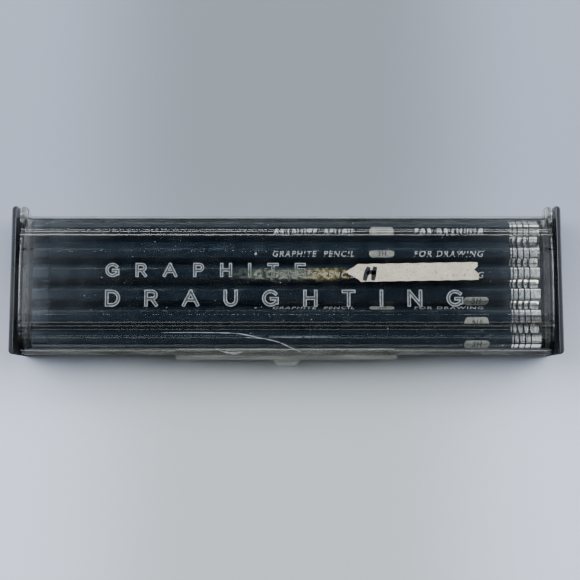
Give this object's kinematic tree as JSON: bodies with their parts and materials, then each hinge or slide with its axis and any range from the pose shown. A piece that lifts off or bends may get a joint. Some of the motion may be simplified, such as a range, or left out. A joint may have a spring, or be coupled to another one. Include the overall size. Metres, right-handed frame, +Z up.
{
  "type": "drafting pencil case",
  "caption": "Hinged flat case with a clear beaded lid on a black tray, holding two layers of long unsharpened hexagonal drafting pencils.",
  "frame": {"origin": "centre of the tray's flat underside, midway between the end plates and between the front and back walls", "axes": "+X along the pencils towards their banded ends, +Y towards the hinge side, +Z up out of the lid"},
  "size_m": [0.1906, 0.0552, 0.0201],
  "materials": {
    "tray_plastic": "moulded black polystyrene, slightly scuffed",
    "lid_plastic": "clear polystyrene, yellowed a little at its edges",
    "pencil_casing": "wood under dark slate lacquer with silver bands",
    "graphite": "dull graphite",
    "tape_paper": "aged cream paper tape"
  },
  "bodies": {
    "tray": {"base_tray": "tray_plastic"},
    "lid": {"lid": "lid_plastic", "tape_label": "tape_paper"},
    "pencil_01": {"pencil_01_barrel": "pencil_casing", "pencil_01_lead": "graphite"},
    "pencil_02": {"pencil_02_barrel": "pencil_casing", "pencil_02_lead": "graphite"},
    "pencil_03": {"pencil_03_barrel": "pencil_casing", "pencil_03_lead": "graphite"},
    "pencil_04": {"pencil_04_barrel": "pencil_casing", "pencil_04_lead": "graphite"},
    "pencil_05": {"pencil_05_barrel": "pencil_casing", "pencil_05_lead": "graphite"},
    "pencil_06": {"pencil_06_barrel": "pencil_casing", "pencil_06_lead": "graphite"},
    "pencil_07": {"pencil_07_barrel": "pencil_casing", "pencil_07_lead": "graphite"},
    "pencil_08": {"pencil_08_barrel": "pencil_casing", "pencil_08_lead": "graphite"},
    "pencil_09": {"pencil_09_barrel": "pencil_casing", "pencil_09_lead": "graphite"},
    "pencil_10": {"pencil_10_barrel": "pencil_casing", "pencil_10_lead": "graphite"},
    "pencil_11": {"pencil_11_barrel": "pencil_casing", "pencil_11_lead": "graphite"},
    "pencil_12": {"pencil_12_barrel": "pencil_casing", "pencil_12_lead": "graphite"}
  },
  "joints": [
    {"name": "lid_hinge", "type": "hinge", "parent": "tray", "child": "lid", "pos_m": [0, 0.0245, 0.01], "axis": [-1, 0, 0], "range_deg": [0, 130]},
    {"name": "pencil_01_slide", "type": "slide", "parent": "tray", "child": "pencil_01", "axis": [1, 0, 0], "range_m": [-0.0021, 0.0021]},
    {"name": "pencil_02_slide", "type": "slide", "parent": "tray", "child": "pencil_02", "axis": [1, 0, 0], "range_m": [-0.0021, 0.0021]},
    {"name": "pencil_03_slide", "type": "slide", "parent": "tray", "child": "pencil_03", "axis": [1, 0, 0], "range_m": [-0.0021, 0.0021]},
    {"name": "pencil_04_slide", "type": "slide", "parent": "tray", "child": "pencil_04", "axis": [1, 0, 0], "range_m": [-0.0021, 0.0021]},
    {"name": "pencil_05_slide", "type": "slide", "parent": "tray", "child": "pencil_05", "axis": [1, 0, 0], "range_m": [-0.0021, 0.0021]},
    {"name": "pencil_06_slide", "type": "slide", "parent": "tray", "child": "pencil_06", "axis": [1, 0, 0], "range_m": [-0.0021, 0.0021]},
    {"name": "pencil_07_slide", "type": "slide", "parent": "tray", "child": "pencil_07", "axis": [1, 0, 0], "range_m": [-0.0021, 0.0021]},
    {"name": "pencil_08_slide", "type": "slide", "parent": "tray", "child": "pencil_08", "axis": [1, 0, 0], "range_m": [-0.0021, 0.0021]},
    {"name": "pencil_09_slide", "type": "slide", "parent": "tray", "child": "pencil_09", "axis": [1, 0, 0], "range_m": [-0.0021, 0.0021]},
    {"name": "pencil_10_slide", "type": "slide", "parent": "tray", "child": "pencil_10", "axis": [1, 0, 0], "range_m": [-0.0021, 0.0021]},
    {"name": "pencil_11_slide", "type": "slide", "parent": "tray", "child": "pencil_11", "axis": [1, 0, 0], "range_m": [-0.0021, 0.0021]},
    {"name": "pencil_12_slide", "type": "slide", "parent": "tray", "child": "pencil_12", "axis": [1, 0, 0], "range_m": [-0.0021, 0.0021]}
  ]
}
